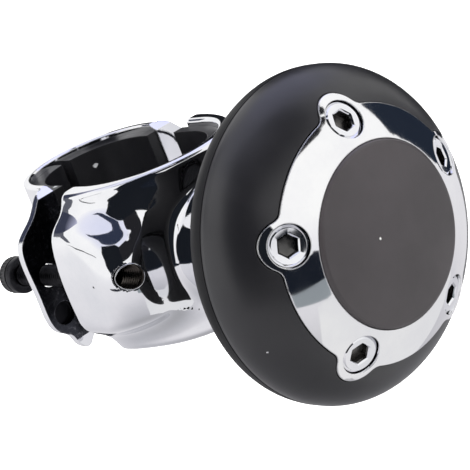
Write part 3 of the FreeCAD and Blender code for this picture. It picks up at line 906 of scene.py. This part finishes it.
def screwRows(shape, turn):
    # rows of radius and depth, from the tip of the thread to the floor of the socket
    sides = shape["sides"]
    radii = {
        "shank": [shape["shank"]] * sides,
        "head": [shape["head"]] * sides,
        "face": [shape["head"] - shape["bevel"]] * sides,
        "floor": [shape["socketFloor"]] * sides,
        "hexagon": [],
    }
    for k in range(sides):
        angle = 2 * math.pi * k / sides - turn + math.pi / 6
        radii["hexagon"].append(hexRadius(angle, shape["flats"]))
    depths = {
        "end": shape["end"],
        "seat": shape["seat"],
        "bevel": shape["sink"] + shape["bevel"],
        "face": shape["sink"],
        "floor": shape["sink"] + shape["socketDepth"],
    }

    def row(kind, more, level, past):
        return [(radius + more, depths[level] + past) for radius in radii[kind]]

    rows = [
        row("shank", -shape["tip"], "end", 0.0),
        row("shank", -shape["tipEase"], "end", -shape["tipChamfer"]),
    ]
    past = -shape["tipChamfer"] - shape["pitch"] / 2
    while shape["end"] + past > shape["seat"] + shape["plainShank"]:
        rows.append(row("shank", -shape["threadDepth"], "end", past))
        rows.append(row("shank", 0.0, "end", past - shape["pitch"] / 2))
        past -= shape["pitch"]
    return rows + [row(*headRow) for headRow in screwHeadRows]


def makeTrimScrews(shape):
    sides = shape["sides"]
    points, faces, dark = [], [], []
    for i in range(shape["count"]):
        spot, axis, across, side = screwFrame(shape, i)
        rows = screwRows(shape, math.radians(shape["socketTurns"][i]))
        first = len(points)
        last = first + (len(rows) - 1) * sides
        for row in rows:
            for k, (radius, deep) in enumerate(row):
                angle = 2 * math.pi * k / sides
                aside = across * (radius * math.cos(angle)) + side * (radius * math.sin(angle))
                points.append((spot - axis * deep + aside) / 1000)
        for r in range(len(rows) - 1):
            faces += rowFaces(first + r * sides, first + (r + 1) * sides, sides)
            # the deepest rows of each socket and its floor carry the painted shade
            dark += [r >= len(rows) - 3] * sides
        faces.append(tuple(reversed(range(first, first + sides))))
        faces.append(tuple(range(last, last + sides)))
        dark += [False, True]
    piece = newPiece("trimScrews", points, faces, finishes["screwChrome"], finishes["socketPaintedShade"])
    for face, isDark in zip(piece.data.polygons, dark):
        face.material_index = int(isDark)
    smooth(piece, 24)
    return piece


trimScrews = makeTrimScrews(screwShape)
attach(trimScrews, "knob")
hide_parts("trim_screws")
print("trim screws made")


# narrow plated lip where each bolt hole and its cone meet the ear's surface, in millimetres

holeRim = {
    "around": 96,
    "tube": 10,
    "thick": 0.2,
    "back": 0.14,
    "sunk": 0.2,
    "startY": -16.0,
    "widest": 2.5,
    "halvings": 18,
    "steps": 40,
    "stepShare": 0.7,
}


def rimLine(side, shape, angles):
    # halving finds how far out the cone still cuts the surface, for all angles at once
    c = castingShape

    def onSurface(radius):
        x, z = side * c["boltX"] + radius * np.cos(angles), c["boltZ"] + radius * np.sin(angles)
        y = np.full(len(x), shape["startY"])
        for _ in range(shape["steps"]):
            y = y + shape["stepShare"] * bodyField(x, y, z)
        return np.stack([x, y, z])

    near = np.full(len(angles), c["boltHole"])
    far = near + shape["widest"]
    for _ in range(shape["halvings"]):
        middle = (near + far) / 2
        inside = mouthField(*onSurface(middle)) < 0
        near, far = np.where(inside, middle, near), np.where(inside, far, middle)
    return onSurface(near + shape["back"]).T


def makeHoleRim(name, side, shape):
    turn = math.radians(castingShape["mouthTurn"])
    axis = np.array([side * math.sin(turn), -math.cos(turn), 0.0])
    around, tube = shape["around"], shape["tube"]
    angles = 2 * math.pi * np.arange(around) / around
    points, faces = [], []
    for angle, spot in zip(angles, rimLine(side, shape, angles)):
        out = np.array([math.cos(angle), 0.0, math.sin(angle)])
        for m in range(tube):
            bend = 2 * math.pi * m / tube
            way = out * math.cos(bend) + axis * (math.sin(bend) - shape["sunk"])
            points.append(tuple((spot + shape["thick"] * way) / 1000))
    for k in range(around):
        faces += rowFaces(k * tube, (k + 1) % around * tube, tube)
    rim = newPiece(name, points, faces, finishes["castingChrome"])
    rim.data.validate()
    smooth(rim)
    return rim


for sideName, side in (("left", -1), ("right", 1)):
    rim = makeHoleRim("holeRim" + sideName.capitalize(), side, holeRim)
    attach(rim, "clamp_body")
print("hole rims made")


# threads inside the ears, from the bolt's far limit to the mouth, in metres unless a name says otherwise

earThread = {
    "wall": 0.00294,
    "crest": 0.00253,
    "pitch": 0.0008,
    "deep": -0.0087,
    "mouth": -0.0148,
    "lean": 0.0011,
    "mouthBlendInMillimetres": 0.3,
    "mouthRoomInMillimetres": 0.35,
    "fadeDepthInMillimetres": 0.5,
    "fadeSteps": 20,
    "leastWidth": 0.05,
    "section": ((0, -0.40), (1, -0.09), (1, 0.09), (0, 0.40)),
    "height": 0.0022,
    "aside": 0.0268,
    "steps": 48,
}


def threadHeight(side, shape, angle, along):
    # share of the full height, which fades near the mouth's cone and the ear's surface
    x = side * shape["aside"] + shape["wall"] * math.cos(angle)
    z = shape["height"] + shape["wall"] * math.sin(angle)
    spot = np.array([x, along, z]) * 1000
    metal = float(blendMax(bodyField(*spot), -mouthField(*spot), shape["mouthBlendInMillimetres"]))
    cover = -metal - shape["mouthRoomInMillimetres"]
    return min(1.0, max(0.0, cover / shape["fadeDepthInMillimetres"]))


def makeEarThread(name, side, shape):
    points, faces = [], []
    total = int((shape["deep"] - shape["mouth"] + shape["lean"]) / shape["pitch"] * shape["steps"])
    for k in range(total + 1):
        angle = 2 * math.pi * k / shape["steps"]
        along = shape["deep"] - shape["pitch"] * k / shape["steps"]
        edge = shape["mouth"] + shape["lean"] * side * math.cos(angle)
        height = threadHeight(side, shape, angle, along) * min(1.0, k / shape["fadeSteps"])
        width = shape["pitch"] * max(height, shape["leastWidth"])
        for depth, offset in shape["section"]:
            radius = shape["wall"] - (shape["wall"] - shape["crest"]) * depth * height
            x = side * shape["aside"] + radius * math.cos(angle)
            z = shape["height"] + radius * math.sin(angle)
            points.append((x, max(along - offset * width, edge), z))
    for k in range(total):
        faces += rowFaces(4 * k, 4 * (k + 1), 4)
    faces.append((3, 2, 1, 0))
    faces.append(tuple(range(4 * total, 4 * total + 4)))
    coil = newPiece(name, points, faces, finishes["threadSteel"])
    coil.data.validate()
    smooth(coil, 35)
    return coil


for sideName, side in (("left", -1), ("right", 1)):
    coil = makeEarThread("earThread" + sideName.capitalize(), side, earThread)
    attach(coil, "clamp_body")
print("ear threads made")


# floor, sky and the studio's cards

stageSet = {
    "floorLevel": -0.085,
    "floorSize": 8.0,
    "floorGlow": 0.62,
    "paperTone": (0.86, 0.86, 0.86),
    "skyForLight": 0.50,
    "cardRadius": 1.4,
    "centre": (0.0, -0.03, 0.0),
}

# tone of the mirrored sky from straight down at 0 to straight up at 1
skyTones = [
    (0.00, (0.40, 0.40, 0.42)),
    (0.07, (0.50, 0.50, 0.53)),
    (0.25, (0.74, 0.73, 0.76)),
    (0.45, (0.86, 0.86, 0.88)),
    (0.55, (0.97, 0.97, 0.97)),
    (0.90, (1.00, 1.00, 1.00)),
    (0.94, (0.82, 0.83, 0.94)),
    (1.00, (0.74, 0.76, 0.92)),
]


def rayKind(tree, names):
    path = tree.nodes.new("ShaderNodeLightPath")
    value = path.outputs[names[0]]
    for name in names[1:]:
        value = maths(tree, "MAXIMUM", value, path.outputs[name])
    return value


def makeFloor():
    half = stageSet["floorSize"] / 2
    finish, tree, shader = newFinish("palePaper")
    tree.nodes.remove(shader)
    paper = addNode(tree, "ShaderNodeBsdfDiffuse", in_Color=(*stageSet["paperTone"], 1))
    glow = addNode(tree, "ShaderNodeEmission", in_Strength=stageSet["floorGlow"])
    both = tree.nodes.new("ShaderNodeAddShader")
    choose = tree.nodes.new("ShaderNodeMixShader")
    tree.links.new(paper.outputs[0], both.inputs[0])
    tree.links.new(glow.outputs[0], both.inputs[1])
    tree.links.new(rayKind(tree, ["Is Camera Ray", "Is Transmission Ray"]), choose.inputs[0])
    tree.links.new(paper.outputs[0], choose.inputs[1])
    tree.links.new(both.outputs[0], choose.inputs[2])
    tree.links.new(choose.outputs[0], tree.nodes["Material Output"].inputs["Surface"])
    level = stageSet["floorLevel"]
    corners = [(-half, -half, level), (half, -half, level), (half, half, level), (-half, half, level)]
    floor = newPiece("studioFloor", corners, [(0, 1, 2, 3)], finish)
    floor.visible_glossy = False


def makeSky():
    world = bpy.data.worlds.new("studio")
    bpy.context.scene.world = world
    world.use_nodes = True
    tree = world.node_tree
    tree.nodes.clear()
    place = tree.nodes.new("ShaderNodeTexCoord")
    split = tree.nodes.new("ShaderNodeSeparateXYZ")
    tree.links.new(place.outputs["Generated"], split.inputs[0])
    share = maths(tree, "MULTIPLY_ADD", split.outputs["Z"], 0.5, 0.5)
    tone = ramp(tree, share, skyTones)
    mirror = addNode(tree, "ShaderNodeBackground", in_Strength=1.0)
    tree.links.new(tone, mirror.inputs["Color"])
    white = addNode(tree, "ShaderNodeBackground", in_Strength=1.0)
    soft = addNode(tree, "ShaderNodeBackground", in_Strength=stageSet["skyForLight"])
    first = tree.nodes.new("ShaderNodeMixShader")
    second = tree.nodes.new("ShaderNodeMixShader")
    tree.links.new(rayKind(tree, ["Is Glossy Ray"]), first.inputs[0])
    tree.links.new(soft.outputs[0], first.inputs[1])
    tree.links.new(mirror.outputs[0], first.inputs[2])
    tree.links.new(rayKind(tree, ["Is Camera Ray", "Is Transmission Ray"]), second.inputs[0])
    tree.links.new(first.outputs[0], second.inputs[1])
    tree.links.new(white.outputs[0], second.inputs[2])
    out = tree.nodes.new("ShaderNodeOutputWorld")
    tree.links.new(second.outputs[0], out.inputs["Surface"])


# each card is given by its corners as seen from the object, in degrees round from the knob's side and up
cards = {
    "topFlag": {
        "tone": (0.030, 0.038, 0.068),
        "corners": [
            (-127, 61), (-112, 63.5), (-98, 68), (-88, 70.5), (-75, 73), (-60, 74.5), (-40, 76),
            (-20, 75.5), (0, 74.5), (10, 72), (10, 67.5), (-5, 67), (-20, 67.5), (-40, 67),
            (-58, 67), (-70, 66), (-85, 64), (-98, 62), (-112, 60.5),
        ],
    },
    "leftFlag": {
        "tone": (0.010, 0.012, 0.016),
        "corners": [
            (-88, 61), (-87, 50), (-83, 37), (-84, 27), (-82, 19), (-77, 7), (-73, 0), (-69, -8),
            (-62, -12.4), (-35, -12), (-18, -8), (-16, -3), (-17, 4), (-20, 12), (-27, 22),
            (-33, 33), (-31, 44), (-33, 52), (-31, 60), (-36, 63.5), (-44, 66.4), (-57, 66.6),
            (-68, 65.2), (-80, 63),
        ],
    },
    "middleFlag": {
        "tone": (0.018, 0.018, 0.021),
        "corners": [
            (-33, 33), (-31, 44), (-33, 52), (-31, 60), (-14, 61.5), (-3, 61), (3, 56), (8, 56),
            (14, 60), (22, 52), (34, 42), (44, 33), (30, 31), (10, 32), (-12, 33),
        ],
    },
    "highFlag": {
        "tone": (0.012, 0.013, 0.016),
        "corners": [
            (9, 73), (34, 74), (52, 66), (52, 42), (46, 34), (36, 42), (24, 51.5), (14, 60),
            (9, 62),
        ],
    },
    "tableEdge": {
        "tone": (0.010, 0.013, 0.020),
        "corners": [
            (-102, -12.6), (-60, -12.2), (-35, -11), (-20, -7), (1, -7), (1, -18), (-20, -19),
            (-35, -17), (-60, -16), (-102, -13.6),
        ],
    },
    "tableShade": {
        "tone": (0.28, 0.31, 0.33),
        "corners": [(-22, -19), (1, -18), (1, -26), (-22, -25)],
    },
    "rightFlag": {
        "tone": (0.016, 0.022, 0.036),
        "corners": [(63, 22), (74, 18), (84, 10), (97, -6), (96, -12), (81, -13), (70, -3), (60, 7)],
    },
    "farFlag": {
        "tone": (0.045, 0.050, 0.080),
        "highTone": (0.46, 0.47, 0.62),
        "fade": (40, 54),
        "corners": [
            (-180, 31), (-172, 30), (-160, 27), (-157, 38), (-159, 46), (-164, 54), (-168, 64),
            (-180, 64),
        ],
    },
    "farTail": {
        "tone": (0.12, 0.125, 0.15),
        "corners": [(-160, 27), (-150, 21), (-140, 19), (-134, 25), (-140, 30), (-150, 33), (-157, 38)],
    },
    "violetBox": {
        "tone": (0.90, 0.92, 1.22),
        "corners": [
            (48, 66), (64, 50), (84, 38), (104, 31), (128, 38), (146, 52), (152, 66), (146, 80),
            (90, 84), (50, 79),
        ],
    },
    "frontPaper": {
        "tone": (0.79, 0.79, 0.80),
        "corners": [
            (-8, -28), (10, -22), (45, -21), (80, -22), (84, -45), (84, -70), (40, -72), (-10, -70),
            (-12, -45),
        ],
    },
    "thinFlag": {
        "tone": (0.07, 0.07, 0.08),
        "corners": [
            (-143, 10), (-130, 20.6), (-120, 30.8), (-108, 35.4), (-101, 35), (-101, 33.4),
            (-108, 33.4), (-120, 28.8), (-130, 19),
        ],
    },
    "backFlag": {
        "tone": (0.012, 0.013, 0.016),
        "corners": [(118, 34), (136, 42), (147, 32), (146, 2), (132, -8), (118, -4)],
    },
    "backStrip": {
        "tone": (0.02, 0.022, 0.03),
        "corners": [(125, -20), (179, -22), (179, -27), (125, -26)],
    },
    "sideFlag": {
        "tone": (0.02, 0.02, 0.024),
        "corners": [(99, 22), (120, 25), (142, 22), (142, -12), (120, -12), (99, -10)],
    },
}


def wayTo(turn, up):
    # direction from the object, in degrees round from the knob's side and degrees up
    a, e = math.radians(turn), math.radians(up)
    return Vector((math.sin(a) * math.cos(e), -math.cos(a) * math.cos(e), math.sin(e)))


def towards(turn, up, far):
    return Vector(stageSet["centre"]) + far * wayTo(turn, up)


def makeCard(name, card):
    finish, tree, shader = newFinish(name)
    tree.nodes.remove(shader)
    glow = addNode(tree, "ShaderNodeEmission", in_Strength=1.0, in_Color=(*card["tone"], 1))
    if "fade" in card:
        place = tree.nodes.new("ShaderNodeTexCoord")
        split = tree.nodes.new("ShaderNodeSeparateXYZ")
        tree.links.new(place.outputs["Object"], split.inputs[0])
        low, high = (towards(0, up, stageSet["cardRadius"]).z for up in card["fade"])
        share = spread(tree, split.outputs["Z"], 0.0, 1.0, low, high)
        tone = ramp(tree, share, [(0.0, card["tone"]), (1.0, card["highTone"])])
        tree.links.new(tone, glow.inputs["Color"])
    tree.links.new(glow.outputs[0], tree.nodes["Material Output"].inputs["Surface"])
    points = [towards(*corner, stageSet["cardRadius"]) for corner in card["corners"]]
    panel = newPiece(name, points, [tuple(range(len(points)))], finish)
    for ray in ("camera", "diffuse", "transmission", "volume_scatter", "shadow"):
        setattr(panel, "visible_" + ray, False)


lamps = {
    "keyLamp": {"from": (-100, 55), "far": 1.3, "size": 1.1, "power": 26.0},
    "fillLamp": {"from": (45, 35), "far": 1.4, "size": 1.2, "power": 12.0},
}


def makeLamp(name, lamp):
    data = bpy.data.lights.new(name, "AREA")
    data.size = lamp["size"]
    data.energy = lamp["power"]
    light = bpy.data.objects.new(name, data)
    bpy.context.scene.collection.objects.link(light)
    light.location = towards(*lamp["from"], lamp["far"])
    light.rotation_mode = "QUATERNION"
    light.rotation_quaternion = wayTo(*lamp["from"]).to_track_quat("Z", "Y")
    light.visible_camera = False
    light.visible_glossy = False


makeFloor()
makeSky()
for cardName, card in cards.items():
    makeCard(cardName, card)
for lampName, lamp in lamps.items():
    makeLamp(lampName, lamp)
bpy.context.scene.view_settings.view_transform = "Standard"
print("stage set")
